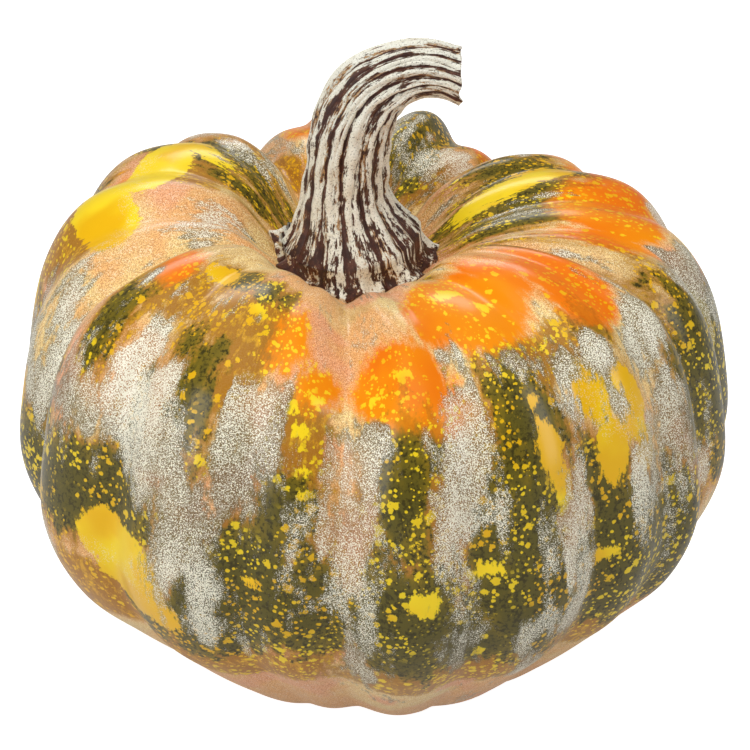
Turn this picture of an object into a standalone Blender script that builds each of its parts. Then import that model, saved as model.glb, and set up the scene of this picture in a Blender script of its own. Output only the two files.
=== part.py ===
"""Ceramic pumpkin figure: a hollow cast body, a cast stem on a dowel, and four felt pads.

The script works in millimetres and writes metres. +Z is up, -Y is the front, and z = 0 is the
surface the pads rest on. Azimuths are in degrees from the front, growing towards +X (the right).
"""

import math

import bpy
import bmesh
import numpy as np
from mathutils import Vector
from mathutils.bvhtree import BVHTree

MM = 0.001

# ---------------------------------------------------------------- sizes, mm
LIFT = 0.95               # from the body's own height to world height: pad, gap, less the ground-off foot
FOOT_CUT = 0.8            # the feet are ground flat at this height above the lowest point
WALL = 5.0                # cast wall
CROWN = (-7.0, 3.8)       # where the stem stands, off the body's own axis
SEAT_R, SEAT_Z = 14.0, 104.0
DOWEL_R, DOWEL_LOW, DOWEL_HIGH = 4.0, 91.0, 128.0
DOWEL_CHAMFER = 0.6
BORE_R, BORE_TOP = 4.5, 129.2          # the blind hole up into the stem
GLUE_R = (6.0, 12.6)                   # inside and outside of the adhesive ring
GLUE_Z = (0.35, 1.05)                  # its underside and top above the seat
TOE_R, TOE_WAVE, TOES, TOE_T = 20.6, 1.6, 7, 1.5     # the stem's spread root, and its thickness
ROOT_GAP = 0.9                         # least height of the root over the crown
PAD_R, PAD_T, PAD_RHO = 6.0, 1.5, 34.0
PAD_AZIMUTHS = (45, 138, 222, 324)
SIDES, OUTER_RINGS, INNER_RINGS = 108, 17, 11        # facets of the body
STEM_SIDES, STEM_RINGS, ROUND_SIDES = 52, 17, 32

# Section through a lobe crest: distance from the axis, height. From the seat, over the top, to the foot.
CREST = [
    (DOWEL_R + 0.6, SEAT_Z), (SEAT_R, SEAT_Z), (22, 109), (31, 116), (45, 120),
    (59, 119), (75, 112), (85, 97), (90, 76), (91, 57), (84, 39),
    (72, 25), (59, 12), (47, 2), (36, 0), (26, 2), (12, 6),
]

# One row for each rib: azimuth of the groove before it, that groove's depth in mm and half-width in
# degrees, and how far the rib's crest reaches out and rises, in mm. Deep grooves part the six lobes.
RIBS = [
    (-8, 11, 8, 0, 0), (12, 3.5, 6, -4, 0), (37, 4, 6, -4, 4), (54, 4, 5, -1, 5),
    (68, 10.5, 6, -3, -1), (88, 4, 5, -1, -2), (108, 4, 6, -1, -1), (128, 4, 6, -5, 0),
    (148, 11, 7, -5, -4), (165, 4, 5, 1, 3), (182, 10, 7, 2, 4), (197, 4, 5, -1, 1),
    (212, 11, 7, 3, 4), (230, 4, 5, 4, 5), (250, 4, 6, 4, 5), (268, 4, 6, 3, 1),
    (288, 10, 7, 4, 4), (312, 4, 6, 1, 2), (337, 4, 6, 0, 2),
]
# Share of its depth that a groove has at each distance in mm down the crest from the seat.
DEEP_SHARE = [(0, 0.0), (12, 0.35), (30, 0.7), (50, 0.95), (90, 0.75), (130, 0.6), (170, 0.4), (205, 0.2), (240, 0.1)]
FINE_SHARE = [(0, 0.0), (12, 0.4), (45, 0.55), (80, 1.0), (140, 1.0), (175, 0.6), (205, 0.2), (240, 0.1)]

# Stem centreline in the XZ plane through the crown: x, z, radius, lengthwise share of the flutes.
STEM = [
    (-8.3, 114.0, 17.6, 0.9), (-8.7, 117.0, 15.2, 1.0), (-9.3, 121.5, 12.6, 1.0), (-9.7, 127.0, 10.8, 1.0),
    (-9.4, 133.0, 10.1, 1.0), (-8.6, 141.0, 10.1, 1.0), (-6.8, 148.0, 9.8, 1.0), (-3.4, 154.0, 9.2, 1.0),
    (1.2, 157.6, 8.2, 1.0), (6.8, 159.8, 7.2, 1.0), (12.8, 159.8, 6.5, 1.0), (18.0, 158.0, 6.4, 0.8),
]
FLUTES, FLUTE_DEPTH = 13, 0.9


# ---------------------------------------------------------------- helpers
def smoothstep(x):
    x = np.clip(x, 0.0, 1.0)
    return x * x * (3 - 2 * x)


def spline(points, count):
    """A Catmull-Rom curve through the points, sampled evenly by length."""
    p = np.array(points, float)
    p = np.vstack([2 * p[0] - p[1], p, 2 * p[-1] - p[-2]])
    t = np.linspace(0, 1, 16, endpoint=False)[:, None]
    run = [
        0.5 * (2 * b + (c - a) * t + (2 * a - 5 * b + 4 * c - d) * t**2 + (3 * b - a - 3 * c + d) * t**3)
        for a, b, c, d in zip(p, p[1:], p[2:], p[3:])
    ]
    line = np.vstack(run + [p[-2:-1]])
    length = np.r_[0, np.cumsum(np.linalg.norm(np.diff(line, axis=0), axis=1))]
    even = np.linspace(0, length[-1], count)
    return np.stack([np.interp(even, length, line[:, k]) for k in range(line.shape[1])], axis=1)


def rib_tables(azimuth):
    """Depth of the deep and of the fine grooves, then crest reach and rise, in mm at each azimuth."""
    rows = np.array(RIBS, float)
    away = (azimuth[:, None] - rows[:, 0] + 180) % 360 - 180
    cut = rows[:, 1] * np.exp(-np.abs(away / rows[:, 2]) ** 1.6)
    deep = rows[:, 1] > 6
    # the crest's reach and rise pass through each rib's value at its middle
    middle = rows[:, 0] + ((np.roll(rows[:, 0], -1) - rows[:, 0]) % 360) / 2
    near = np.exp(-(((azimuth[:, None] - middle + 180) % 360 - 180) / 6.5) ** 2)
    near /= near.sum(axis=1, keepdims=True)
    return cut[:, deep].sum(axis=1), cut[:, ~deep].sum(axis=1), near @ rows[:, 3], near @ rows[:, 4]


def body_surface(count, inset):
    """Points [section, azimuth, xyz] of the lobed surface, `inset` mm below the outside."""
    azimuth = np.arange(SIDES) * 360.0 / SIDES
    deep, fine, reach, rise = rib_tables(azimuth)
    # the seat is one flat facet, from the dowel hole to the foot of the lobes
    line = np.vstack([CREST[:1], spline(CREST[1:], count - 1)])
    along = np.gradient(line, axis=0)
    along /= np.linalg.norm(along, axis=1)[:, None]
    out_r, out_z = -along[:, 1], along[:, 0]
    rho, z = line[:, :1], line[:, 1:]
    top = smoothstep((z - 40) / 50)
    s = np.r_[0, np.cumsum(np.linalg.norm(np.diff(line, axis=0), axis=1))]
    share = [np.interp(s - s[1], *spline(table, 60).T)[:, None] for table in (DEEP_SHARE, FINE_SHARE)]
    sunk = np.maximum(share[0] * deep + share[1] * fine, 0.0) * (rho >= SEAT_R - 0.01)
    # the seat and the foot ring are the same height all round
    lift = smoothstep((z - 40) / 80) * smoothstep((rho - SEAT_R) / 20)
    r = rho * (1 + reach[None] * smoothstep((rho - SEAT_R) / 30) / 88) - out_r[:, None] * (sunk + inset)
    h = z - out_z[:, None] * (sunk + inset) + rise[None] * lift
    shift = smoothstep((75 - rho) / 60) * top
    a = np.radians(azimuth)[None]
    x = r * np.sin(a) + CROWN[0] * shift
    y = -r * np.cos(a) + CROWN[1] * shift
    floor = FOOT_CUT + inset
    return np.stack([x, y, np.maximum(h, floor) + LIFT], axis=-1)


def add_object(name, points, faces, colour, roughness, coat=0.0):
    """A closed mesh object with its own material. Faces come out turned outwards."""
    mesh = bpy.data.meshes.new(name)
    mesh.from_pydata([tuple(float(c) * MM for c in p) for p in points], [], faces)
    work = bmesh.new()
    work.from_mesh(mesh)
    bmesh.ops.recalc_face_normals(work, faces=work.faces)
    if work.calc_volume(signed=True) < 0:
        bmesh.ops.reverse_faces(work, faces=work.faces)
    work.to_mesh(mesh)
    work.free()
    material = bpy.data.materials.new(name)
    material.use_nodes = True
    shader = material.node_tree.nodes["Principled BSDF"]
    shader.inputs["Base Color"].default_value = (*colour, 1.0)
    shader.inputs["Roughness"].default_value = roughness
    shader.inputs["Coat Weight"].default_value = coat
    mesh.materials.append(material)
    found = bpy.data.objects.new(name, mesh)
    bpy.context.scene.collection.objects.link(found)
    return found


def ring_faces(rows, sides, closed):
    """Triangles between rings of points; `closed` joins the last ring to the first."""
    faces = []
    for i in range(rows if closed else rows - 1):
        a, b = i * sides, ((i + 1) % rows) * sides
        for k in range(sides):
            m = (k + 1) % sides
            faces += [(a + k, b + k, b + m), (a + k, b + m, a + m)]
    return faces


def capped(rings, first, last):
    """Points and faces of a stack of rings closed with a fan at each end."""
    rings = np.asarray(rings)
    rows, sides = rings.shape[:2]
    points = np.vstack([rings.reshape(-1, 3), [first], [last]])
    faces = ring_faces(rows, sides, closed=False)
    for k in range(sides):
        m = (k + 1) % sides
        faces.append((rows * sides, k, m))
        faces.append((rows * sides + 1, (rows - 1) * sides + m, (rows - 1) * sides + k))
    return points, faces


def circle(x, y, z, radius, sides=STEM_SIDES):
    a = np.arange(sides) * 2 * math.pi / sides
    return np.stack([x + radius * np.sin(a), y - radius * np.cos(a), np.full(sides, float(z))], axis=-1)


# ---------------------------------------------------------------- the cast body
def build_body():
    outer = body_surface(OUTER_RINGS, 0.0)
    inner = body_surface(INNER_RINGS, WALL)[::-1]
    # the holes through the crown and the base are straight: the inner rim repeats the outer one's xy
    inner[-1, :, :2] = outer[0, :, :2]
    inner[0, :, :2] = outer[-1, :, :2]
    rings = np.concatenate([outer, inner])
    faces = ring_faces(len(rings), SIDES, closed=True)
    return add_object("body_shell", rings.reshape(-1, 3), faces, (0.55, 0.34, 0.08), 0.25, coat=0.8)


# ---------------------------------------------------------------- the stem
def flute(angle, turn):
    wave = np.cos(FLUTES * (angle + turn)) + 0.35 * np.cos((FLUTES - 5) * angle + 1.3)
    return FLUTE_DEPTH * (wave - 0.35)


def build_stem(body):
    surface = BVHTree.FromObject(body, bpy.context.evaluated_depsgraph_get())

    def crown_height(x, y):
        hit = surface.ray_cast(Vector((x * MM, y * MM, 0.3)), Vector((0, 0, -1)))[0]
        return hit.z / MM

    angle = np.arange(STEM_SIDES) * 2 * math.pi / STEM_SIDES
    x0, y0 = CROWN
    # the root spreads into toes that follow the crown
    toe = TOE_R + TOE_WAVE * np.cos(TOES * angle + 0.6)

    def over_crown(radius, gap):
        x, y = x0 + radius * np.sin(angle), y0 - radius * np.cos(angle)
        return np.stack([x, y, [crown_height(*at) + gap for at in zip(x, y)]], axis=-1)

    line = spline(STEM, STEM_RINGS)
    along = np.gradient(line[:, :2], axis=0)
    along /= np.linalg.norm(along, axis=1)[:, None]
    rings = []
    for k, (x, z, radius, share) in enumerate(line):
        # across the stem: one direction is Y, the other lies in the XZ plane
        side = np.array([along[k, 1], 0.0, -along[k, 0]])
        r = radius + share * flute(angle, 0.35 * k / len(line))
        centre = np.array([x, y0, z])
        rings.append(centre + (r * np.sin(angle))[:, None] * side - (r * np.cos(angle))[:, None] * [0, 1, 0])
    rings = rings[::-1]
    tip = rings[0].mean(axis=0) - 1.6 * np.array([along[-1, 0], 0.0, along[-1, 1]])
    # toes: top edge, under edge, then in under the root to the flat seat and up the bore
    rings += [over_crown(toe, ROOT_GAP + TOE_T), over_crown(toe, ROOT_GAP)]
    rings += [over_crown(SEAT_R + (toe - SEAT_R) * part, ROOT_GAP + 0.2) for part in (0.66, 0.33)]
    rings.append(over_crown(SEAT_R - 0.6, ROOT_GAP + 0.5))
    rings += [circle(x0, y0, z, BORE_R) for z in (SEAT_Z + LIFT + ROOT_GAP + 0.5, BORE_TOP)]
    points, faces = capped(rings, tip, (x0, y0, BORE_TOP))
    return add_object("stem", points, faces, (0.62, 0.54, 0.45), 0.7)


def build_dowel():
    x, y = CROWN
    low, high = DOWEL_LOW + LIFT, DOWEL_HIGH
    end_r = DOWEL_R - DOWEL_CHAMFER
    rings = [circle(x, y, low, end_r, ROUND_SIDES), circle(x, y, low + DOWEL_CHAMFER, DOWEL_R, ROUND_SIDES),
             circle(x, y, high - DOWEL_CHAMFER, DOWEL_R, ROUND_SIDES), circle(x, y, high, end_r, ROUND_SIDES)]
    points, faces = capped(rings, (x, y, low), (x, y, high))
    return add_object("stem_dowel", points, faces, (0.62, 0.44, 0.26), 0.6)


def build_adhesive():
    """The bead between the seat and the root, a flat ring round the dowel hole."""
    x, y = CROWN
    low, high = (SEAT_Z + LIFT + z for z in GLUE_Z)
    inside, outside = GLUE_R
    corners = [(low, outside), (high, outside), (high, inside), (low, inside)]
    rings = [circle(x, y, z, radius) for z, radius in corners]
    faces = ring_faces(len(rings), STEM_SIDES, closed=True)
    return add_object("stem_adhesive", np.concatenate(rings), faces, (0.55, 0.38, 0.2), 0.45)


def build_pads():
    for number, azimuth in enumerate(PAD_AZIMUTHS, 1):
        a = math.radians(azimuth)
        x, y = PAD_RHO * math.sin(a), -PAD_RHO * math.cos(a)
        rings = [circle(x, y, 0.0, PAD_R, ROUND_SIDES), circle(x, y, PAD_T, PAD_R, ROUND_SIDES)]
        points, faces = capped(rings, (x, y, 0.0), (x, y, PAD_T))
        add_object(f"felt_pad_{number}", points, faces, (0.16, 0.12, 0.09), 0.95)


def centre_on_origin():
    """Moves everything sideways, so that the middle of the whole box stands on the origin."""
    meshes = [o.data for o in bpy.context.scene.objects if o.type == "MESH"]
    spots = [v.co for mesh in meshes for v in mesh.vertices]
    middle = [(min(p[k] for p in spots) + max(p[k] for p in spots)) / 2 for k in (0, 1)]
    for mesh in meshes:
        for vertex in mesh.vertices:
            vertex.co.x -= middle[0]
            vertex.co.y -= middle[1]


def main():
    for old in list(bpy.data.objects):
        bpy.data.objects.remove(old)
    body = build_body()
    bpy.context.view_layer.update()
    build_stem(body)
    build_dowel()
    build_adhesive()
    build_pads()
    centre_on_origin()


main()
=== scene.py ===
"""Ceramic pumpkin figure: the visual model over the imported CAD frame.

Sizes are in millimetres in this file and become metres as meshes are made. Azimuths are degrees from
the front (-Y), growing towards +X. `s` is the distance in mm along a lobe crest from the stem's seat:
0 at the seat, about 60 on top of a lobe, about 130 at the widest place, 215 at the vent in the base.
"""

import itertools
import math

import bpy
import numpy as np
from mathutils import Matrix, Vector
from mathutils.bvhtree import BVHTree


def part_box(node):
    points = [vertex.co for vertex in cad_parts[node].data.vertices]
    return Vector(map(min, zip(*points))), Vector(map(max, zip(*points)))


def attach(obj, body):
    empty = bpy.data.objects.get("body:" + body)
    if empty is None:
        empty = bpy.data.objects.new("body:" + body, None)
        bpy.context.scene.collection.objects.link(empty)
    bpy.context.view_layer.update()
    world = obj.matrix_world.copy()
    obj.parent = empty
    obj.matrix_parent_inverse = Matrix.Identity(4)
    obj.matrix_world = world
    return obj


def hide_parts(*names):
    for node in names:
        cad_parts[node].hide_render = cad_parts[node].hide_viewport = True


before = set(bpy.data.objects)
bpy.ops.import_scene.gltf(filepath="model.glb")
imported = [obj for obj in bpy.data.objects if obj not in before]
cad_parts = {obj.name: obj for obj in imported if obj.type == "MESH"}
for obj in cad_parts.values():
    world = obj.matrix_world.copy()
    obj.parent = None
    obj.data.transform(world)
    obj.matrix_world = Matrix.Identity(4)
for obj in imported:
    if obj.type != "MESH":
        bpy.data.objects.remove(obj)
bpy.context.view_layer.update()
MM = 0.001

# ------------------------------------------------------------------ the body's shape, as in the CAD
LIFT, FOOT_CUT, WALL = 0.95, 0.8, 5.0
CROWN = (-7.0, 3.8)
SEAT_R, SEAT_Z, DOWEL_R = 14.0, 104.0, 4.0
CREST = [
    (DOWEL_R + 0.6, SEAT_Z), (SEAT_R, SEAT_Z), (22, 109), (31, 116), (45, 120),
    (59, 119), (75, 112), (85, 97), (90, 76), (91, 57), (84, 39),
    (72, 25), (59, 12), (47, 2), (36, 0), (26, 2), (12, 6),
]
# One row for each rib: azimuth of the groove before it, that groove's depth in mm and half-width in
# degrees, and how far the rib's crest reaches out and rises, in mm. Deep grooves part the six lobes.
RIBS = [
    (-8, 11, 8, 0, 0), (12, 3.5, 6, -4, 0), (37, 4, 6, -4, 4), (54, 4, 5, -1, 5),
    (68, 10.5, 6, -3, -1), (88, 4, 5, -1, -2), (108, 4, 6, -1, -1), (128, 4, 6, -5, 0),
    (148, 11, 7, -5, -4), (165, 4, 5, 1, 3), (182, 10, 7, 2, 4), (197, 4, 5, -1, 1),
    (212, 11, 7, 3, 4), (230, 4, 5, 4, 5), (250, 4, 6, 4, 5), (268, 4, 6, 3, 1),
    (288, 10, 7, 4, 4), (312, 4, 6, 1, 2), (337, 4, 6, 0, 2),
]
# Share of its depth that a groove has at each distance in mm down the crest from the seat.
DEEP_SHARE = [
    (0, 0.0), (12, 0.35), (30, 0.7), (50, 0.95), (90, 0.75), (130, 0.6), (170, 0.4), (205, 0.2), (240, 0.1),
]
FINE_SHARE = [
    (0, 0.0), (12, 0.4), (45, 0.55), (80, 1.0), (140, 1.0), (175, 0.6), (205, 0.2), (240, 0.1),
]
DEEP_FROM = 6.0           # a groove deeper than this parts two lobes
GROOVE_POWER = 1.6        # how flat the bottom of a groove is
RIB_SPREAD = 6.5          # degrees over which one rib's reach and rise pass into the next one's
WAIST_Z = 40.0            # above this height the ribs rise and the crown shifts off the axis
RISE_Z, RISE_RUN = 80.0, 20.0        # height, and distance past the seat, over which the rise grows
SHIFT_Z, SHIFT_R, SHIFT_RUN = 50.0, 75.0, 60.0     # the shift's height, where it starts, and its run
REACH_RUN, REACH_R = 30.0, 88.0      # distance past the seat over which the reach grows, and its radius
# Stem centreline in the XZ plane through the crown: x, z, radius.
STEM = [
    (-8.3, 114.0, 17.6), (-8.7, 117.0, 15.2), (-9.3, 121.5, 12.6), (-9.7, 127.0, 10.8),
    (-9.4, 133.0, 10.1), (-8.6, 141.0, 10.1), (-6.8, 148.0, 9.8), (-3.4, 154.0, 9.2),
    (1.2, 157.6, 8.2), (6.8, 159.8, 7.2), (12.8, 159.8, 6.5), (18.0, 158.0, 6.4),
]
TIP_SLANT = 2.4           # how far the underside of the stem's tip reaches past the middle of its cut face
STEM_SIDES, STEM_ROWS, TOE_ROWS = 400, 170, 24
TOE_REACH, TOE_STEP = 20.0, 2.6      # from the stem's middle to its toes, and from there to their knee
TOE_RUN, LIP_SHARE = 8.0, 0.15       # length of the toes as the paint sees it, and its share in their edge
SLANT_RUN, FLARE_RUN = 14.0, 3.0     # lengths of stem over which the tip slants and flares
ROPES, FINE_ROPES, ROPE_TWIST = 15, 29, 0.12
PAD_1 = (45.0, 34.0)      # azimuth and distance of the first felt pad from the body's axis
BODY_SIDES, BODY_ROWS = 720, 136
INSIDE_SIDES, INSIDE_ROWS = 180, 40
WRAP_R = 70.0             # radius of the cylinder on which the paint's noise is laid out


def smoothstep(x):
    x = np.clip(x, 0.0, 1.0)
    return x * x * (3 - 2 * x)


def spline(points, count):
    p = np.array(points, float)
    p = np.vstack([2 * p[0] - p[1], p, 2 * p[-1] - p[-2]])
    t = np.linspace(0, 1, 16, endpoint=False)[:, None]
    run = [
        0.5 * (2 * b + (c - a) * t + (2 * a - 5 * b + 4 * c - d) * t**2 + (3 * b - a - 3 * c + d) * t**3)
        for a, b, c, d in zip(p, p[1:], p[2:], p[3:])
    ]
    line = np.vstack(run + [p[-2:-1]])
    length = np.r_[0, np.cumsum(np.linalg.norm(np.diff(line, axis=0), axis=1))]
    even = np.linspace(0, length[-1], count)
    return np.stack([np.interp(even, length, line[:, k]) for k in range(line.shape[1])], axis=1)


def rib_tables(azimuth):
    """Depth of the deep and of the fine grooves, then crest reach and rise, in mm at each azimuth."""
    rows = np.array(RIBS, float)
    away = (azimuth[:, None] - rows[:, 0] + 180) % 360 - 180
    cut = rows[:, 1] * np.exp(-np.abs(away / rows[:, 2]) ** GROOVE_POWER)
    deep = rows[:, 1] > DEEP_FROM
    # the crest's reach and rise pass through each rib's value at its middle
    middle = rows[:, 0] + ((np.roll(rows[:, 0], -1) - rows[:, 0]) % 360) / 2
    near = np.exp(-(((azimuth[:, None] - middle + 180) % 360 - 180) / RIB_SPREAD) ** 2)
    near /= near.sum(axis=1, keepdims=True)
    return cut[:, deep].sum(axis=1), cut[:, ~deep].sum(axis=1), near @ rows[:, 3], near @ rows[:, 4]


def body_axis():
    """The CAD centres its whole box on the origin, so the body's own axis is found from the first pad."""
    low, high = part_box("felt_pad_1")
    a = math.radians(PAD_1[0])
    away = (PAD_1[1] * math.sin(a), -PAD_1[1] * math.cos(a))
    return tuple((low[k] + high[k]) / 2 / MM - away[k] for k in (0, 1))


BODY_AXIS = body_axis()


def body_surface(sides, count, inset=0.0):
    """Points [section, azimuth, xyz] of the lobed surface, with their azimuths and s."""
    azimuth = np.arange(sides) * 360.0 / sides
    deep, fine, reach, rise = rib_tables(azimuth)
    line = np.vstack([CREST[:1], spline(CREST[1:], count - 1)])
    along = np.gradient(line, axis=0)
    along /= np.linalg.norm(along, axis=1)[:, None]
    out_r, out_z = -along[:, 1], along[:, 0]
    rho, z = line[:, :1], line[:, 1:]
    s = np.r_[0, np.cumsum(np.linalg.norm(np.diff(line, axis=0), axis=1))]
    s -= s[1]
    share = [np.interp(s, *spline(table, 60).T)[:, None] for table in (DEEP_SHARE, FINE_SHARE)]
    sunk = np.maximum(share[0] * deep + share[1] * fine, 0.0) * (rho >= SEAT_R - 0.01)
    lift = smoothstep((z - WAIST_Z) / RISE_Z) * smoothstep((rho - SEAT_R) / RISE_RUN)
    grown = 1 + reach[None] * smoothstep((rho - SEAT_R) / REACH_RUN) / REACH_R
    r = rho * grown - out_r[:, None] * (sunk + inset)
    h = z - out_z[:, None] * (sunk + inset) + rise[None] * lift
    shift = smoothstep((SHIFT_R - rho) / SHIFT_RUN) * smoothstep((z - WAIST_Z) / SHIFT_Z)
    a = np.radians(azimuth)[None]
    x = r * np.sin(a) + CROWN[0] * shift + BODY_AXIS[0]
    y = -r * np.cos(a) + CROWN[1] * shift + BODY_AXIS[1]
    points = np.stack([x, y, np.maximum(h, FOOT_CUT + inset) + LIFT], axis=-1)
    return points, azimuth, s


def soft_noise(points, size, octaves, rough, seed):
    """Smooth seeded noise between 0 and 1 at each point; its widest swings are about `size` mm long."""
    total, weight, whole = 0.0, 1.0, 0.0
    for octave in range(octaves):
        place = np.asarray(points) / np.asarray(size) * 2**octave + 500 + 17 * octave
        cell = np.floor(place).astype(np.int64)
        f = smoothstep(place - cell)
        value = 0.0
        for corner in itertools.product((0, 1), repeat=3):
            key = (cell + corner) @ np.array([73856093, 19349663, 83492791]) + 7919 * (seed + 31 * octave)
            key = ((key ^ (key >> 13)) * 1274126177) & 0xFFFFFFFF
            key = ((key ^ (key >> 16)) * 2246822519) & 0xFFFFFFFF
            value = value + key / 2**32 * np.prod(np.where(corner, f, 1 - f), axis=-1)
        total, whole, weight = total + weight * value, whole + weight, weight * rough
    return total / whole


def mesh_object(name, points, faces, material):
    mesh = bpy.data.meshes.new(name)
    mesh.from_pydata((np.asarray(points) * MM).tolist(), [], faces)
    mesh.update()
    mesh.shade_smooth()
    mesh.materials.append(material)
    found = bpy.data.objects.new(name, mesh)
    bpy.context.scene.collection.objects.link(found)
    return found


def grid_faces(rows, sides):
    i, k = np.meshgrid(np.arange(rows - 1), np.arange(sides), indexing="ij")
    m = (k + 1) % sides
    a, b, c, d = i * sides + k, (i + 1) * sides + k, (i + 1) * sides + m, i * sides + m
    return np.stack([a, b, c, d], axis=-1).reshape(-1, 4).tolist()


def filled(values, width, count):
    """The values as one flat row; the points past their end, such as a cap's middle, repeat the last one."""
    values = np.asarray(values, np.float32).reshape(-1, width)
    return np.vstack([values, np.repeat(values[-1:], count - len(values), axis=0)]).ravel()


def add_attribute(obj, name, values):
    layer = obj.data.attributes.new(name, "FLOAT", "POINT")
    layer.data.foreach_set("value", filled(values, 1, len(obj.data.vertices)))


def add_vector(obj, name, values):
    layer = obj.data.attributes.new(name, "FLOAT_VECTOR", "POINT")
    layer.data.foreach_set("vector", filled(values, 3, len(obj.data.vertices)))


# ------------------------------------------------------------------ a small node helper
class Nodes:
    def __init__(self, name):
        self.material = bpy.data.materials.new(name)
        self.material.use_nodes = True
        self.tree = self.material.node_tree
        self.shader = self.tree.nodes["Principled BSDF"]

    def put(self, socket, value):
        if isinstance(value, bpy.types.NodeSocket):
            self.tree.links.new(value, socket)
        elif isinstance(value, tuple) and len(value) == 3 and socket.type == "RGBA":
            socket.default_value = (*value, 1.0)
        else:
            socket.default_value = value

    def math(self, operation, a, b=0.0, c=0.0):
        made = self.tree.nodes.new("ShaderNodeMath")
        made.operation = operation
        for socket, value in zip(made.inputs, (a, b, c)):
            self.put(socket, value)
        return made.outputs[0]

    def step(self, value, low, high, to_low=0.0, to_high=1.0):
        """A smooth step between two levels."""
        made = self.tree.nodes.new("ShaderNodeMapRange")
        made.interpolation_type = "SMOOTHSTEP"
        for socket, number in zip(made.inputs, (value, low, high, to_low, to_high)):
            self.put(socket, number)
        return made.outputs[0]

    def mix(self, factor, a, b, blend="MIX"):
        made = self.tree.nodes.new("ShaderNodeMix")
        made.data_type, made.blend_type = "RGBA", blend
        self.put(made.inputs[0], factor)
        self.put(made.inputs[6], a)
        self.put(made.inputs[7], b)
        return made.outputs[2]

    def attribute(self, name):
        made = self.tree.nodes.new("ShaderNodeAttribute")
        made.attribute_name = name
        return made.outputs["Fac"]

    def vector_attribute(self, name):
        made = self.tree.nodes.new("ShaderNodeAttribute")
        made.attribute_name = name
        return made.outputs["Vector"]

    def noise(self, vector, scale, detail=3.0, rough=0.5, distortion=0.0):
        made = self.tree.nodes.new("ShaderNodeTexNoise")
        self.put(made.inputs["Vector"], vector)
        made.inputs["Scale"].default_value = scale
        made.inputs["Detail"].default_value = detail
        made.inputs["Roughness"].default_value = rough
        made.inputs["Distortion"].default_value = distortion
        return made.outputs["Fac"]

    def cell_node(self, vector, scale):
        made = self.tree.nodes.new("ShaderNodeTexVoronoi")
        self.put(made.inputs["Vector"], vector)
        made.inputs["Scale"].default_value = scale
        return made

    def scaled(self, vector, size):
        made = self.tree.nodes.new("ShaderNodeMapping")
        self.put(made.inputs["Vector"], vector)
        made.inputs["Scale"].default_value = size
        return made.outputs[0]

    def object_mm(self):
        """Object coordinates in millimetres."""
        made = self.tree.nodes.new("ShaderNodeTexCoord")
        return self.scaled(made.outputs["Object"], (1000, 1000, 1000))

    def bump(self, height, strength, distance_mm):
        made = self.tree.nodes.new("ShaderNodeBump")
        made.inputs["Strength"].default_value = strength
        made.inputs["Distance"].default_value = distance_mm * MM
        self.put(made.inputs["Height"], height)
        return made.outputs[0]

    def finish(self, colour, roughness, normal=None, **fixed):
        self.put(self.shader.inputs["Base Color"], colour)
        self.put(self.shader.inputs["Roughness"], roughness)
        if normal is not None:
            self.put(self.shader.inputs["Normal"], normal)
        for key, value in fixed.items():
            self.shader.inputs[key.replace("_", " ")].default_value = value
        return self.material


# ------------------------------------------------------------------ camera, light, floor
CAMERA_ELEVATION, CAMERA_DISTANCE, CAMERA_LENS = 30.9, 0.75, 141.2     # degrees, m, mm
CAMERA_TARGET = (-0.0005, 0.0, 0.0759)
LIGHT_TARGET = (0.0, 0.0, 0.08)
LEFT_W, RIGHT_W, TOP_W, BACK_W = 5.4, 3.0, 7.8, 3.0     # watts
ROOM = 0.15               # brightness of the room around the object; the camera sees it white
FLOOR_GLOW = (0.13, 0.93)  # how much the floor shines by itself: on the object, and to the camera


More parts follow.
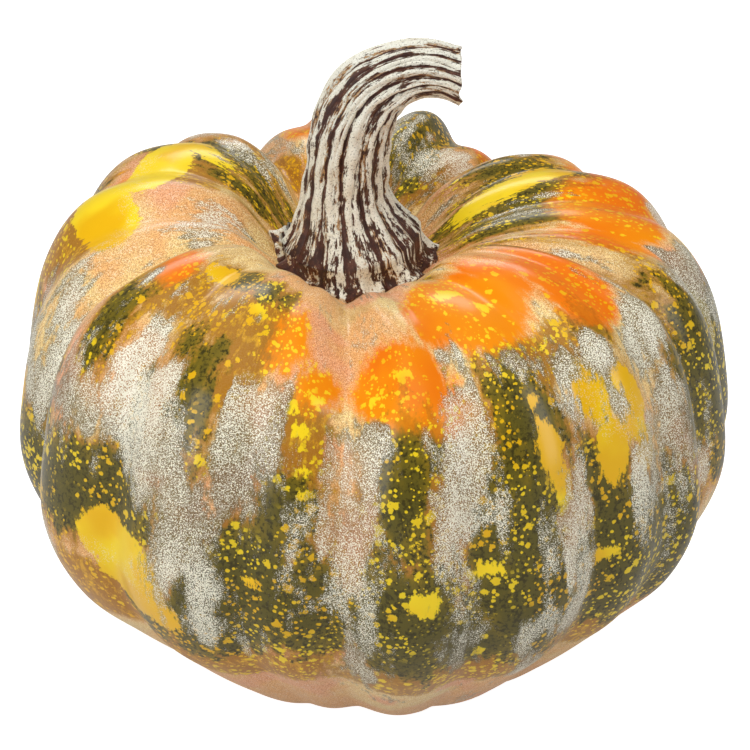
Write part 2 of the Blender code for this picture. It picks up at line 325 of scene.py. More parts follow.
def set_stage():
    elevation = math.radians(CAMERA_ELEVATION)
    away = Vector((0.0, -math.cos(elevation), math.sin(elevation)))
    data = bpy.data.cameras.new("photo_camera")
    data.sensor_width = 36.0
    data.lens = CAMERA_LENS
    data.clip_start, data.clip_end = 0.05, 20
    camera = bpy.data.objects.new("photo_camera", data)
    camera.location = Vector(CAMERA_TARGET) + away * CAMERA_DISTANCE
    camera.rotation_euler = (-away).to_track_quat("-Z", "Y").to_euler()
    bpy.context.scene.collection.objects.link(camera)
    bpy.context.scene.camera = camera

    def area(name, place, size, power):
        light = bpy.data.lights.new(name, "AREA")
        light.shape, light.size, light.size_y = "RECTANGLE", size[0], size[1]
        light.energy = power
        obj = bpy.data.objects.new(name, light)
        obj.location = place
        obj.rotation_euler = (Vector(LIGHT_TARGET) - Vector(place)).to_track_quat("-Z", "Y").to_euler()
        bpy.context.scene.collection.objects.link(obj)
        return obj

    area("left_softbox", (-0.80, -0.75, 0.45), (0.5, 0.9), LEFT_W)
    area("right_softbox", (0.95, -0.35, 0.45), (0.3, 0.9), RIGHT_W)
    # the glaze shows no reflection of the top light, as if it were polarised
    area("top_softbox", (-0.05, -0.15, 1.10), (0.9, 0.9), TOP_W).visible_glossy = False
    area("back_softbox", (-0.15, 1.0, 0.75), (0.7, 0.35), BACK_W)

    def to_camera(tree, low, high, socket):
        """Sets a strength that is higher where the camera looks straight at it."""
        path = tree.nodes.new("ShaderNodeLightPath")
        level = tree.nodes.new("ShaderNodeMapRange")
        level.inputs["To Min"].default_value, level.inputs["To Max"].default_value = low, high
        tree.links.new(path.outputs["Is Camera Ray"], level.inputs["Value"])
        tree.links.new(level.outputs[0], socket)

    world = bpy.data.worlds.new("studio")
    world.use_nodes = True
    background = world.node_tree.nodes["Background"]
    background.inputs["Color"].default_value = (1, 1, 1, 1)
    to_camera(world.node_tree, ROOM, 1.0, background.inputs["Strength"])
    bpy.context.scene.world = world
    bpy.context.scene.view_settings.view_transform = "Standard"

    floor = Nodes("floor_white")
    floor.finish((0.55, 0.55, 0.55), 0.9, Specular_IOR_Level=0.0)
    floor.shader.inputs["Emission Color"].default_value = (1, 1, 1, 1)
    to_camera(floor.tree, *FLOOR_GLOW, floor.shader.inputs["Emission Strength"])
    mesh = bpy.data.meshes.new("floor")
    mesh.from_pydata([(-4, -4, 0), (4, -4, 0), (4, 4, 0), (-4, 4, 0)], [], [(0, 1, 2, 3)])
    mesh.materials.append(floor.material)
    obj = bpy.data.objects.new("floor", mesh)
    bpy.context.scene.collection.objects.link(obj)


# ------------------------------------------------------------------ the painted skin
PEACH, CREAM, ROSE = (0.98, 0.56, 0.21), (1.0, 0.78, 0.34), (0.98, 0.50, 0.25)
BROWN_GOLD, OCHRE = (0.40, 0.16, 0.003), (0.72, 0.37, 0.006)
DEEP_ORANGE, LIGHT_ORANGE = (0.90, 0.19, 0.0), (0.96, 0.29, 0.0)
LIGHT_OLIVE, OLIVE, DARK_OLIVE = (0.25, 0.17, 0.010), (0.115, 0.092, 0.010), (0.050, 0.039, 0.005)
GOLD, LEMON = (0.90, 0.50, 0.004), (1.0, 0.72, 0.015)
FROST_WHITE, FROST_SHADE = (1.0, 0.96, 0.79), (0.13, 0.105, 0.045)
FROST_VEIL = (0.40, 0.82)  # the least and the most that the shade covers the paint under the frost
GRAIN_SHADE = (0.50, 0.20, 0.07)
GRAIN_STRENGTH, HALO_STRENGTH, SPECK_STRENGTH, DUST_STRENGTH, WHITE_STRENGTH = 0.75, 0.92, 0.85, 0.45, 0.94
# Layers of specks: how many cells in a mm, radius in cells, share of cells left out.
BIG_SPECKS = ((0.15, 0.18, 0.45), (0.30, 0.29, 0.20))
SMALL_SPECKS = ((0.50, 0.34, 0.15), (0.90, 0.40, 0.15))
FAR_OUTSIDE = -20.0       # what a field of paint holds far from its patches, in mm

# Patches of paint: azimuth, s, half-width in degrees, half-length in mm, lean in degrees per 10 mm of s.
ORANGE = [
    (26, 41, 17, 16, 0), (38, 40, 8, 12, 0), (51, 48, 9, 17, -1), (3, 60, 9, 13, 0), (10, 68, 6, 8, 0),
    (-19, 50, 4, 10, 0), (-57, 44, 6, 7, 0), (102, 50, 15, 13, 0), (86, 48, 6, 12, 0),
    (118, 62, 14, 8, 0), (-104, 60, 7, 5, 0), (150, 66, 12, 9, 0), (196, 52, 9, 14, 0),
    (-13, 62, 4, 7, 0),
]
GOLDEN = [
    (-31, 46, 14, 16, 1), (-53, 49, 13, 11, 0), (-15, 80, 6, 22, 0), (-56, 64, 4, 13, 1),
    (-30, 64, 6, 12, 1), (28, 64, 10, 10, 0), (40, 64, 7, 9, 0), (6, 78, 8, 17, 0), (7, 98, 4, 20, 0),
    (-24, 147, 17, 12, 0), (2, 150, 13, 10, 0), (20, 148, 16, 12, 0), (44, 146, 14, 12, 0),
    (-50, 138, 14, 13, 0), (-112, 38, 12, 14, 0), (-96, 70, 12, 16, 0), (110, 34, 8, 10, 0),
    (176, 58, 14, 16, 0), (-46, 108, 12, 8, 0), (22, 78, 8, 10, 0), (-22, 108, 8, 10, 0),
    (92, 92, 12, 12, 0), (160, 26, 12, 12, 0), (-146, 30, 10, 16, 0),
]
GREEN = [
    (-53, 108, 16, 12, 0), (-18, 121, 12, 20, 0), (-24, 132, 12, 14, 0), (3, 90, 4, 18, 0),
    (3, 126, 8.5, 20, 0), (23, 106, 8, 34, 0), (24, 126, 9.5, 22, 0), (43, 122, 10, 24, 0),
    (55, 130, 9, 22, 0), (-57, 66, 3, 13, 1), (-35, 74, 3, 13, 1.5), (-15, 96, 4, 9, 0),
    (-38, 37, 10, 5, 2), (112, 30, 7, 18, 0), (14, 134, 8, 12, 0), (124, 40, 8, 16, 0),
    (98, 25, 8, 12, 0), (174, 55, 12, 14, 0), (168, 32, 10, 14, 0), (-121, 42, 5, 22, -3),
    (-128, 30, 6, 16, 0), (92, 108, 20, 26, 0), (76, 96, 8, 36, 0), (122, 110, 12, 34, 0),
    (150, 100, 10, 40, 0), (172, 112, 12, 26, 0), (196, 98, 9, 40, 0), (-140, 106, 11, 34, 0),
    (-117, 104, 8, 30, 0), (-96, 118, 12, 24, 0), (-78, 126, 9, 24, 0), (216, 118, 10, 26, 0),
    (-68, 104, 6, 18, 0), (-41, 137, 7, 7, 0), (8, 74, 4, 8, 0), (44, 68, 2.5, 10, 0),
    (34, 112, 3, 26, 0), (26, 76, 7, 12, 0), (-44, 92, 2, 12, 1), (8, 110, 4, 12, 0), (17, 118, 4, 20, 0),
    (62, 92, 3, 26, 0), (-10, 122, 4, 14, 0), (36, 96, 3, 16, 0),
]
YELLOW = [
    (-42, 124, 7.5, 12, 0), (-48, 117, 5, 7, 0), (-36, 131, 3.5, 5, 0), (28.5, 86, 2.2, 10, 0.5),
    (30.5, 95, 2, 7, 0), (39, 78, 3.6, 9, 1), (41.5, 92, 2.6, 9, 0), (46, 84, 3.2, 11, 1),
    (48, 97, 2.4, 7, 0), (6, 117, 2.6, 3.4, 0), (16, 112, 3.2, 1.4, 0), (38, 119, 3.4, 1.6, -6),
    (-15, 76, 1.3, 1.5, 0), (-14, 86, 1.1, 1.4, 0), (-17, 71, 1.1, 1.2, 0), (-13, 92, 0.9, 1.1, 0),
    (118, 30, 5, 14, 3), (122, 42, 5, 8, 2), (-110, 48, 13, 10, 0), (-98, 60, 9, 9, 0),
    (-124, 44, 4, 14, -3), (-90, 56, 8, 8, 0), (-47, 37, 5, 4, 0), (88, 88, 3, 12, 0),
    (104, 120, 5, 9, 0), (140, 92, 3, 14, 0), (160, 116, 7, 8, 0), (184, 92, 3, 12, 0),
    (206, 122, 5, 10, 0), (-130, 88, 3, 12, 0), (-102, 96, 6, 10, 0), (-86, 106, 4, 9, 0),
    (-66, 116, 3, 4, 0), (24, 36, 4, 1.8, 0), (7, 94, 1.3, 1.6, 0), (-21, 116, 1.2, 1.2, 0),
    (-15, 115, 1.5, 1.4, 0), (-31, 46, 2.5, 1.8, 0), (30, 44, 2, 1.6, 0), (-13, 66, 1.6, 1.4, 0),
    (4, 58, 1.4, 1.2, 0), (-2, 64, 1.2, 1.2, 0), (27, 72, 1.2, 1.2, 0),
]
FROST_AND_HIGHLIGHT = [
    (-43, 84, 10, 20, 0.5), (-58, 78, 3, 18, 0), (-31, 112, 6, 24, 0.5), (-23, 84, 7, 21, 0.5),
    (-14, 98, 5, 6, 0), (-4, 104, 5.5, 42, 0), (-3, 76, 5, 12, 0), (13, 86, 5.5, 24, 0),
    (12, 122, 3.4, 18, 0), (24, 62, 10, 4, 0), (33, 116, 2.2, 26, 0), (40, 68, 5, 4, 0),
    # the narrow patches at azimuth 55 and 66 are frost on the ridges and also a painted highlight: they stand
    # for the pale streaks of reflection along the groove edges on the right
    (55, 95, 5, 36, 0), (66, 100, 4, 32, 0), (14, 54, 4, 8, 0), (88, 74, 8, 12, 0), (104, 33, 6, 11, 0),
    (96, 88, 8, 10, 0), (160, 36, 8, 16, 0), (178, 38, 7, 14, 0), (-78, 30, 8, 10, 0),
    (-74, 84, 6, 24, 0), (-88, 92, 6, 12, 0), (-132, 36, 6, 12, 0), (-104, 110, 7, 16, 0),
    (132, 96, 5, 32, 0), (112, 92, 5, 20, 0), (160, 84, 6, 16, 0), (182, 116, 5, 20, 0),
    (206, 88, 6, 24, 0), (-150, 98, 5, 32, 0), (-126, 116, 5, 18, 0), (-68, 96, 4, 20, 0),
    (140, 48, 7, 12, 0), (218, 60, 9, 18, 0), (-62, 128, 5, 7, 0), (26, 124, 2, 16, 0),
    (-28, 66, 3, 10, 1), (47, 112, 2.4, 16, 0),
]
# Each field of paint, and how far in mm ragged noise, long streaks and fine flames move its edge. The
# frost's are negative, so that it draws back where the paint spreads.
FIELDS = (
    ("orange", ORANGE, 7, 2, 3),
    ("golden", GOLDEN, 9, 6, 6),
    ("green", GREEN, 15, 12, 9),
    ("yellow", YELLOW, 2.8, 2.4, 0),
    ("frost_and_highlight", FROST_AND_HIGHLIGHT, -18, -16, -16),
)


def patch_field(patches, azimuth, s, rho):
    """Distance in mm inside (+) or outside (-) the nearest patch edge, at every [s, azimuth]."""
    field = np.full((len(s), len(azimuth)), FAR_OUTSIDE)
    for centre, middle, wide, long, lean in patches:
        down = (s - middle)[:, None]
        across = (azimuth[None] - centre - lean * down / 10 + 180) % 360 - 180
        inside = 1 - np.sqrt((across / wide) ** 2 + (down / long) ** 2)
        size = np.minimum(math.radians(wide) * np.maximum(rho, 30), long)
        field = np.maximum(field, inside * size[:, None])
    return field


def speckled(n, squat, wobble, layers):
    """Round specks: for each (scale, radius in cells, share of cells left out) a layer of dots."""
    found = 0.0
    for scale, size, left_out in layers:
        cell = n.cell_node(squat, scale)
        pick = n.tree.nodes.new("ShaderNodeSeparateColor")
        n.put(pick.inputs[0], cell.outputs["Color"])
        radius = n.math("MULTIPLY_ADD", pick.outputs[1], 0.7 * size, 0.3 * size)
        radius = n.math("MULTIPLY", radius, n.math("GREATER_THAN", pick.outputs[0], left_out))
        away = n.math("MULTIPLY_ADD", n.math("SUBTRACT", wobble, 0.5), 0.5, cell.outputs["Distance"])
        found = n.math("MAXIMUM", found, n.step(n.math("SUBTRACT", radius, away), -0.03, 0.03))
    return found


def moved(n, field, swing, noise):
    """The field in mm, moved by noise."""
    return n.math("MULTIPLY_ADD", n.math("SUBTRACT", noise, 0.5), 2 * swing, field)


def ground_coat(n, cloud, tint, grain):
    """Peach, creamier in clouds, rosy in others, with a fine brown grain."""
    colour = n.mix(n.step(cloud, 0.40, 0.60), PEACH, CREAM)
    colour = n.mix(n.step(tint, 0.56, 0.70), colour, ROSE)
    dots = n.math("MULTIPLY", n.step(grain, 0.52, 0.44), GRAIN_STRENGTH)
    return n.mix(dots, colour, n.mix(0.75, colour, GRAIN_SHADE, "MULTIPLY"))


def dark_coats(n, colour, tint, fine, grit):
    """Golden brown, orange and olive paint; also how far orange, and any of them, covers the ground."""
    orange, golden, green = (n.attribute(k) for k in ("orange", "golden", "green"))
    # golden brown patches, and a halo of the same round the green
    around = n.step(moved(n, green, 6, fine), -7, 1)
    halo = n.math("MAXIMUM", around, n.step(moved(n, golden, 6, fine), -2, 2))
    brown = n.mix(n.step(fine, 0.48, 0.66), BROWN_GOLD, OCHRE)
    colour = n.mix(n.math("MULTIPLY", halo, HALO_STRENGTH), colour, brown)
    # saturated orange
    cover = n.step(moved(n, orange, 4, fine), -2.5, 2.0)
    colour = n.mix(cover, colour, n.mix(n.step(tint, 0.35, 0.65), DEEP_ORANGE, LIGHT_ORANGE))
    # olive green over it, thin on the orange, darker in the middle, mottled with brown
    thin = n.math("MULTIPLY_ADD", cover, -0.70, 1.0)
    edge = n.step(moved(n, moved(n, green, 5, fine), 2, grit), -1.2, 1.8)
    olive = n.mix(n.step(moved(n, green, 6, fine), -1, 7), LIGHT_OLIVE, OLIVE)
    mottle = n.math("ADD", grit, n.math("MULTIPLY", fine, 0.7))
    olive = n.mix(n.step(mottle, 0.82, 1.02), olive, DARK_OLIVE)
    colour = n.mix(n.math("MULTIPLY", edge, thin), colour, olive)
    return colour, cover, n.math("MAXIMUM", n.step(halo, 0.5, 0.9), cover)


def yellow_coat(n, colour, wrap, tint, fine, grit, painted):
    """Splashes with crisp ragged edges, and specks of several sizes over the dark paint."""
    splash = n.step(moved(n, n.attribute("yellow"), 3.2, fine), -0.3, 0.3)
    squat = n.scaled(wrap, (1, 1, 0.8))
    big = speckled(n, squat, grit, BIG_SPECKS)
    small = n.math("MULTIPLY", speckled(n, squat, grit, SMALL_SPECKS), n.attribute("crowd"))
    specks = n.math("MULTIPLY", n.math("MAXIMUM", big, small), painted)
    lemon = n.mix(n.step(tint, 0.40, 0.60), GOLD, LEMON)
    return n.mix(n.math("MAXIMUM", splash, n.math("MULTIPLY", specks, SPECK_STRENGTH)), colour, lemon)


def frost_and_highlight_coat(n, colour, place, frost_and_highlight, cloud, tint, fine, grain, orange_cover):
    """Fine white stipple in the middle of a patch, worm-like squiggles where it breaks up; also the white,
    which on two ridges on the right is partly a painted highlight.
    """
    cover = n.math("MULTIPLY_ADD", orange_cover, -5.0, frost_and_highlight)
    cover = n.step(moved(n, cover, 9, fine), -4.5, 8.0)
    worm = n.noise(n.scaled(place, (1, 1, 0.55)), 1.1, 2, 0.7)
    worm = n.math("ABSOLUTE", n.math("SUBTRACT", worm, 0.5))
    worm = n.step(n.math("SUBTRACT", worm, n.math("MULTIPLY", cover, 0.07)), -0.055, -0.01, 1.0, 0.0)
    worm = n.math("MULTIPLY", worm, n.step(cover, 0.02, 0.22))
    level = n.math("MULTIPLY_ADD", cover, -0.155, 0.65)
    level = n.math("MULTIPLY_ADD", n.math("SUBTRACT", fine, 0.5), 0.30, level)
    level = n.math("MULTIPLY_ADD", n.math("SUBTRACT", tint, 0.5), 0.25, level)
    stipple = n.step(n.math("SUBTRACT", grain, level), -0.04, 0.04)
    core = n.step(cover, 0.05, 0.50)
    squiggles = n.math("MULTIPLY", worm, n.step(cover, 0.95, 0.55))
    white = n.math("MAXIMUM", n.math("MULTIPLY", stipple, core), squiggles)
    veil = n.math("MULTIPLY", core, n.step(cloud, 0.38, 0.58, *FROST_VEIL))
    under = n.mix(veil, colour, FROST_SHADE)
    return n.mix(n.math("MULTIPLY", white, WHITE_STRENGTH), under, FROST_WHITE), white


def painted_glaze():
    n = Nodes("painted_glaze_body")
    place = n.object_mm()
    wrap = n.vector_attribute("wrap")
    cloud, tint, frost_and_highlight = (n.attribute(k) for k in ("cloud", "tint", "frost_and_highlight"))
    fine = n.noise(n.scaled(wrap, (1, 1, 0.38)), 0.66, 4, 0.7)
    grain = n.noise(place, 3.6, 1, 0.5)
    grit = n.noise(place, 1.0, 2, 0.65)

    colour = ground_coat(n, cloud, tint, grain)
    colour, orange_cover, painted = dark_coats(n, colour, tint, fine, grit)
    colour = yellow_coat(n, colour, wrap, tint, fine, grit, painted)
    colour, white = frost_and_highlight_coat(n, colour, place, frost_and_highlight, cloud, tint, fine, grain, orange_cover)
    # a thin dust of the same white all over the plain ground
    dust = n.step(n.math("MULTIPLY_ADD", fine, 0.6, grain), 0.88, 0.98)
    dust = n.math("MULTIPLY", dust, n.math("SUBTRACT", 1.0, painted))
    colour = n.mix(n.math("MULTIPLY", dust, DUST_STRENGTH), colour, FROST_WHITE)

    height = n.math("MULTIPLY_ADD", n.step(frost_and_highlight, -5, 4), n.math("SUBTRACT", grain, 0.5), grit)
    normal = n.bump(height, 0.25, 0.10)
    roughness = n.math("MULTIPLY_ADD", white, 0.25, 0.38)
    # the clear coat lies smooth over the grain of the paint
    flat = n.tree.nodes.new("ShaderNodeNewGeometry").outputs["Normal"]
    n.put(n.shader.inputs["Coat Normal"], flat)
    return n.finish(
        colour, roughness, normal, Specular_IOR_Level=0.12, Coat_Weight=0.50, Coat_Roughness=0.20,
    )


# ------------------------------------------------------------------ body
def ride_and_replace(obj, slot, *nodes):
    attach(obj, "root")
    if nodes:
        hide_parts(*nodes)


def make_body():
    points, azimuth, s = body_surface(BODY_SIDES, BODY_ROWS)
    faces = grid_faces(BODY_ROWS, BODY_SIDES)
    body = mesh_object("pumpkin_body", points.reshape(-1, 3), faces, painted_glaze())
    rho = np.hypot(points[..., 0] - BODY_AXIS[0], points[..., 1] - BODY_AXIS[1]).mean(axis=1)
    a = np.radians(azimuth)[None] + 0 * s[:, None]
    wrap = np.stack([WRAP_R * np.sin(a), -WRAP_R * np.cos(a), s[:, None] + 0 * a], axis=-1)
    ragged = soft_noise(wrap, (9, 9, 12), 4, 0.6, 1) - 0.5
    streak = soft_noise(wrap, (6, 6, 34), 4, 0.6, 2) - 0.5
    flame = soft_noise(wrap, (2.8, 2.8, 15), 3, 0.6, 9) - 0.5
    for name, patches, swing, run, lick in FIELDS:
        field = patch_field(patches, azimuth, s, rho)
        add_attribute(body, name, field + (swing * ragged + run * streak + lick * flame))
    add_attribute(body, "cloud", soft_noise(wrap, (30, 30, 24), 4, 0.55, 5))
    add_attribute(body, "tint", soft_noise(wrap, (17, 17, 20), 4, 0.55, 6))
    add_attribute(body, "crowd", smoothstep((soft_noise(wrap, (12, 12, 16), 3, 0.5, 7) - 0.33) / 0.16))
    add_vector(body, "wrap", wrap)
    ride_and_replace(body, "painted_glaze", "body_shell")
    return body


def make_inside():
    """The bare inner wall, with its rims at the dowel hole and at the vent."""
    outer = body_surface(INSIDE_SIDES, INSIDE_ROWS)[0]
    inner = body_surface(INSIDE_SIDES, INSIDE_ROWS, WALL)[0]
    inner[0, :, :2], inner[-1, :, :2] = outer[0, :, :2], outer[-1, :, :2]
    rings = np.concatenate([outer[:1], inner, outer[-1:]])[::-1]
    n = Nodes("bare_bisque")
    place = n.object_mm()
    tone = n.noise(place, 0.15, 4)
    colour = n.mix(tone, (0.62, 0.50, 0.40), (0.74, 0.64, 0.54))
    n.finish(colour, 0.85, n.bump(n.noise(place, 1.8, 3), 0.3, 0.15))
    faces = grid_faces(len(rings), INSIDE_SIDES)
    inside = mesh_object("casting_inside", rings.reshape(-1, 3), faces, n.material)
    ride_and_replace(inside, "painted_glaze", "body_shell")


# ------------------------------------------------------------------ stem
def waves(a, t, seed, count, reach, along):
    """A smooth seeded field over angle (periodic) and length, about -1 to 1."""
    random = np.random.default_rng(seed)
    found = np.zeros(np.broadcast(a, t).shape)
    for _ in range(count):
        k = random.integers(1, reach + 1)
        found = found + np.sin(k * a + random.uniform(0, 6.28) + random.uniform(-along, along) * 6.28 * t)
    return found / math.sqrt(count)


def rope(phase, sharp=0.55):
    """Rounded ridges parted by narrow grooves: 0 in a groove, 1 on a ridge."""
    return np.abs(np.sin(phase / 2)) ** sharp


def stem_material():
    n = Nodes("stem_bark_paint")
    place = n.object_mm()
    flow = n.vector_attribute("flow")
    ridge, root, cut = (n.attribute(k) for k in ("ridge", "root", "cut"))
    streak = n.noise(n.scaled(flow, (1, 1, 0.20)), 0.9, 4, 0.65)
    streak_fine = n.noise(n.scaled(flow, (1, 1, 0.22)), 2.4, 3, 0.65)
    blotch = n.noise(place, 0.35, 4, 0.7)
    grit = n.noise(place, 2.2, 3, 0.7)
    brown = n.mix(n.step(blotch, 0.4, 0.65), (0.042, 0.013, 0.009), (0.105, 0.032, 0.018))
    tan = n.mix(n.step(grit, 0.4, 0.6), (0.46, 0.25, 0.10), (0.66, 0.40, 0.18))
    cream = n.mix(n.step(blotch, 0.35, 0.7), (0.88, 0.86, 0.74), (0.80, 0.76, 0.62))
    cream = n.mix(n.step(grit, 0.52, 0.70), cream, (0.97, 0.96, 0.88))
    # paint level: high on ridges, broken by streaks, and thinner on the root
    level = n.math("MULTIPLY_ADD", n.math("SUBTRACT", streak, 0.5), 1.9, ridge)
    level = n.math("MULTIPLY_ADD", n.math("SUBTRACT", streak_fine, 0.5), 0.9, level)
    level = n.math("MULTIPLY_ADD", n.math("SUBTRACT", blotch, 0.5), 0.7, level)
    level = n.math("MULTIPLY_ADD", root, -0.24, level)
    level = n.math("MULTIPLY_ADD", n.math("MULTIPLY", root, n.math("SUBTRACT", streak_fine, 0.5)), 1.6, level)
    level = n.math("MULTIPLY_ADD", cut, 0.30, level)
    warm = n.step(n.noise(n.scaled(flow, (1, 1, 0.14)), 0.45, 3), 0.50, 0.58)
    thin = n.math("MULTIPLY", n.step(level, 0.26, 0.38), n.math("MULTIPLY_ADD", warm, 0.85, 0.12))
    colour = n.mix(thin, brown, tan)
    paint = n.step(level, 0.42, 0.50)
    colour = n.mix(paint, colour, cream)
    speck = n.step(n.math("SUBTRACT", grit, n.math("MULTIPLY", paint, 0.05)), 0.37, 0.31)
    colour = n.mix(n.math("MULTIPLY", speck, 0.75), colour, (0.085, 0.05, 0.035))
    height = n.math("ADD", n.math("MULTIPLY", paint, 0.6), n.math("MULTIPLY", grit, 0.5))
    normal = n.bump(height, 0.9, 0.40)
    roughness = n.math("MULTIPLY_ADD", paint, 0.12, 0.5)
    return n.finish(colour, roughness, normal, Coat_Weight=0.08, Coat_Roughness=0.3)


def stem_toes(body, a, first, y0):
    """Rows from the edge of the toes, which lie on the crown, up to the stem's first ring."""
    surface = BVHTree.FromObject(body, bpy.context.evaluated_depsgraph_get())
    centre_x = CROWN[0] + BODY_AXIS[0] + (STEM[0][0] - CROWN[0]) * 0.5

    def on_crown(reach):
        x, y = centre_x + reach * np.sin(a), y0 - reach * np.cos(a)
        starts = [Vector((u * MM, v * MM, 0.3)) for u, v in zip(x, y)]
        hits = [surface.ray_cast(start, Vector((0, 0, -1)))[0] for start in starts]
        return x, y, np.array([hit.z / MM for hit in hits])

    toe = TOE_REACH + 1.5 * np.cos(7 * a + 0.6) + 0.5 * np.cos(17 * a) + 0.3 * np.cos(31 * a + 1.0)
    toe_x, toe_y, toe_z = on_crown(toe)
    in_x, in_y, in_z = on_crown(toe - TOE_STEP)
    in_z = np.convolve(np.r_[in_z[-4:], in_z, in_z[:4]], np.ones(9) / 9, "valid")
    foot = np.stack([toe_x, toe_y, toe_z - 0.5], axis=-1)
    lip = np.stack([toe_x, toe_y, toe_z + 0.9], axis=-1)
    knee = np.stack([in_x, in_y, np.maximum(in_z + 1.9, toe_z + 1.2)], axis=-1)
    rows = []
    for t in np.arange(TOE_ROWS) / TOE_ROWS:
        if t < LIP_SHARE:
            rows.append(foot + (lip - foot) * (t / LIP_SHARE))
        else:
            u = (t - LIP_SHARE) / (1 - LIP_SHARE)
            rows.append((1 - u) ** 2 * lip + 2 * u * (1 - u) * knee + u ** 2 * first)
    return rows


def stem_rings(a, line, along, y0):
    """Round rings across the stem's centreline."""
    rows = []
    for (x, z, radius), (run_x, run_z) in zip(line, along):
        side = np.array([run_z, 0.0, -run_x])
        centre = np.array([x + BODY_AXIS[0], y0, z])
        across, back = radius * np.sin(a), radius * np.cos(a)
        rows.append(centre + across[:, None] * side - back[:, None] * [0, 1, 0])
    return rows


def stem_ridges(A, T):
    """Ropes that wander, merge and part: 0 in a groove, 1 on a ridge."""
    wander = 0.40 * waves(A, T, 3, 6, 4, 0.9) + 0.20 * waves(A, T, 8, 6, 9, 3.0)
    main = rope(ROPES * (A + ROPE_TWIST * T) + 2.2 * wander + 0.6)
    minor = rope(FINE_ROPES * A + 5.0 * wander + 1.1 * waves(A, T, 21, 5, 5, 2.5), 0.7)
    strength = 0.75 + 0.25 * waves(A, T, 33, 5, 6, 2.0)
    return np.clip(main * (0.62 + 0.38 * minor) * strength + 0.18 * (1 - strength), 0, 1)


def stem_tip(rows, out, tip_axis, flow_t, a):
    """The rows with a knobby, slightly flared tip, cut upright, and the rings of its concave face."""
    from_tip = flow_t - flow_t[-1]
    slant = np.clip((from_tip + SLANT_RUN) / SLANT_RUN, 0, 1)[:, None] ** 1.5 * TIP_SLANT * np.sin(a[None])
    rows = rows + slant[..., None] * tip_axis
    flare = np.clip((from_tip + FLARE_RUN) / FLARE_RUN, 0, 1)[:, None, None] ** 2
    ragged = (0.35 * waves(a, 0 * a, 77, 6, 9, 0) + 0.2)[None, :, None]
    knobs = (0.45 + 0.35 * waves(a, 0 * a, 78, 6, 7, 0))[None, :, None]
    rows = rows + flare * (ragged * tip_axis + knobs * out)
    centre = rows[-1].mean(axis=0)
    cap = []
    for share, sink in ((0.93, -0.15), (0.82, 0.5), (0.68, 1.1), (0.5, 1.4), (0.3, 1.6), (0.1, 1.7)):
        depth = sink + 0.25 * waves(a, 0 * a + share, 91, 5, 9, 2)
        cap.append(centre + (rows[-1] - centre) * share - tip_axis * depth[:, None])
    return rows, cap


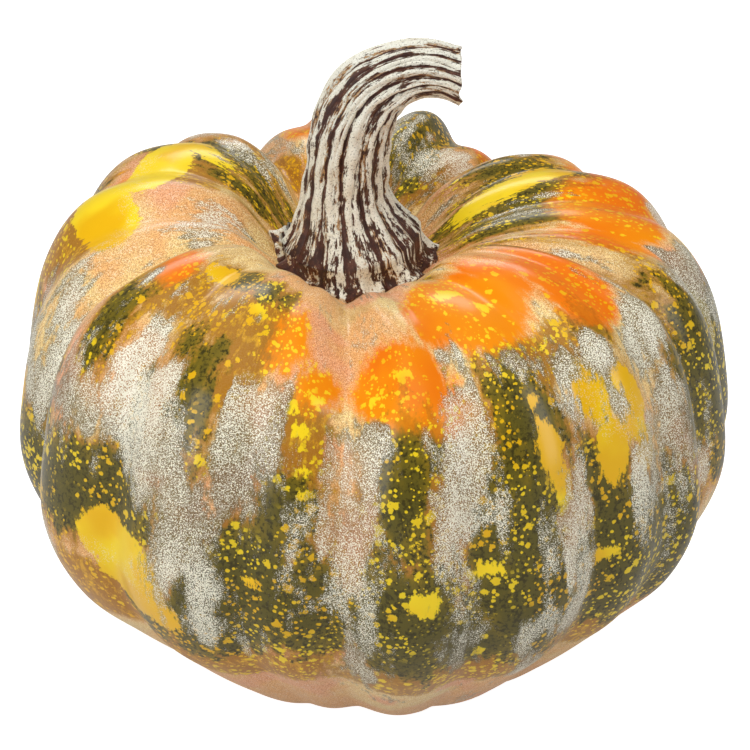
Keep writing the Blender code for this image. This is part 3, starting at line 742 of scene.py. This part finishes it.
def make_stem(body):
    y0 = CROWN[1] + BODY_AXIS[1]
    a = np.arange(STEM_SIDES) * 2 * math.pi / STEM_SIDES
    line = spline(STEM, STEM_ROWS)
    along = np.gradient(line[:, :2], axis=0)
    along /= np.linalg.norm(along, axis=1)[:, None]
    x, z, radius = line[0]
    first = [x + BODY_AXIS[0] + radius * np.sin(a), y0 - radius * np.cos(a), np.full(STEM_SIDES, z)]
    first = np.stack(first, axis=-1)
    rows = np.array(stem_toes(body, a, first, y0) + stem_rings(a, line, along, y0))
    length = np.r_[0, np.cumsum(np.linalg.norm(np.diff(line[:, :2], axis=0), axis=1))]
    flow_t = np.r_[(np.arange(TOE_ROWS) / TOE_ROWS - 1) * TOE_RUN, length]
    end = flow_t[-1]

    # outward direction at each point, from the ring's middle, and mostly upward on the toes
    out = rows - rows.mean(axis=1, keepdims=True)
    out[:TOE_ROWS, :, 2] = 0
    out /= np.linalg.norm(out, axis=2, keepdims=True)
    out[:TOE_ROWS] = out[:TOE_ROWS] * 0.55 + np.array([0, 0, 0.83])

    A, T = a[None], (flow_t / end)[:, None]
    ridge = stem_ridges(A, T)
    places = [-TOE_RUN, -6.5, 0, 12, 40, end - 8, end]
    depth = np.interp(flow_t, places, [0.15, 0.9, 1.7, 1.9, 1.6, 1.3, 0.45])[:, None]
    lumps = 0.22 * waves(A, T, 55, 8, 14, 9.0)
    push = depth * (ridge - 0.72) + lumps * (depth > 0.5)
    rows = rows + push[..., None] * out
    tip_axis = np.array([along[-1, 0], 0.0, along[-1, 1]])
    rows, cap = stem_tip(rows, out, tip_axis, flow_t, a)

    rings = np.concatenate([rows, cap])
    points = np.vstack([rings.reshape(-1, 3), [cap[-1].mean(axis=0)]])
    last = (len(rings) - 1) * STEM_SIDES
    faces = grid_faces(len(rings), STEM_SIDES)
    faces += [(last + (k + 1) % STEM_SIDES, last + k, len(rings) * STEM_SIDES) for k in range(STEM_SIDES)]
    stem = mesh_object("stem_rope", points, [tuple(reversed(face)) for face in faces], stem_material())

    on_cap = np.ones((len(cap), STEM_SIDES))
    add_attribute(stem, "ridge", np.concatenate([ridge, 0.55 * on_cap]))
    root = np.interp(flow_t, [-TOE_RUN, 2, 10], [1, 0.8, 0])[:, None] * np.ones((1, STEM_SIDES))
    add_attribute(stem, "root", np.concatenate([root, 0 * on_cap]))
    add_attribute(stem, "cut", np.concatenate([0 * root, on_cap]))
    down = np.r_[flow_t, np.full(len(cap), end)][:, None]
    flow = np.stack([10 * np.sin(A) + 0 * down, -10 * np.cos(A) + 0 * down, down + 0 * A], axis=-1)
    add_vector(stem, "flow", flow)
    ride_and_replace(stem, "stem_paint", "stem")


# ------------------------------------------------------------------ finishes on the CAD pieces that stay
def set_finish(name, material):
    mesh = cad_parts[name].data
    mesh.materials.clear()
    mesh.materials.append(material)


def finish_small_pieces():
    n = Nodes("beech_dowel")
    place = n.object_mm()
    ring = n.noise(n.scaled(place, (1, 1, 0.06)), 1.6, 4, 0.6)
    colour = n.mix(n.step(ring, 0.35, 0.65), (0.46, 0.29, 0.15), (0.66, 0.47, 0.29))
    set_finish("stem_dowel", n.finish(colour, 0.6, n.bump(ring, 0.3, 0.1)))

    n = Nodes("amber_adhesive")
    place = n.object_mm()
    colour = n.mix(n.noise(place, 0.4, 3), (0.24, 0.13, 0.05), (0.36, 0.21, 0.09))
    set_finish("stem_adhesive", n.finish(colour, 0.3, n.bump(n.noise(place, 0.6, 2), 0.4, 0.2)))

    n = Nodes("dense_felt")
    place = n.object_mm()
    fibre = n.noise(n.scaled(place, (1.0, 0.35, 1.0)), 3.0, 4, 0.75, 1.5)
    colour = n.mix(n.step(fibre, 0.35, 0.65), (0.045, 0.032, 0.022), (0.12, 0.088, 0.062))
    felt = n.finish(colour, 0.95, n.bump(fibre, 0.7, 0.2), Sheen_Weight=0.4, Sheen_Roughness=0.5)
    for number in range(1, 5):
        set_finish(f"felt_pad_{number}", felt)


set_stage()
pumpkin = make_body()
bpy.context.view_layer.update()
make_inside()
make_stem(pumpkin)
finish_small_pieces()
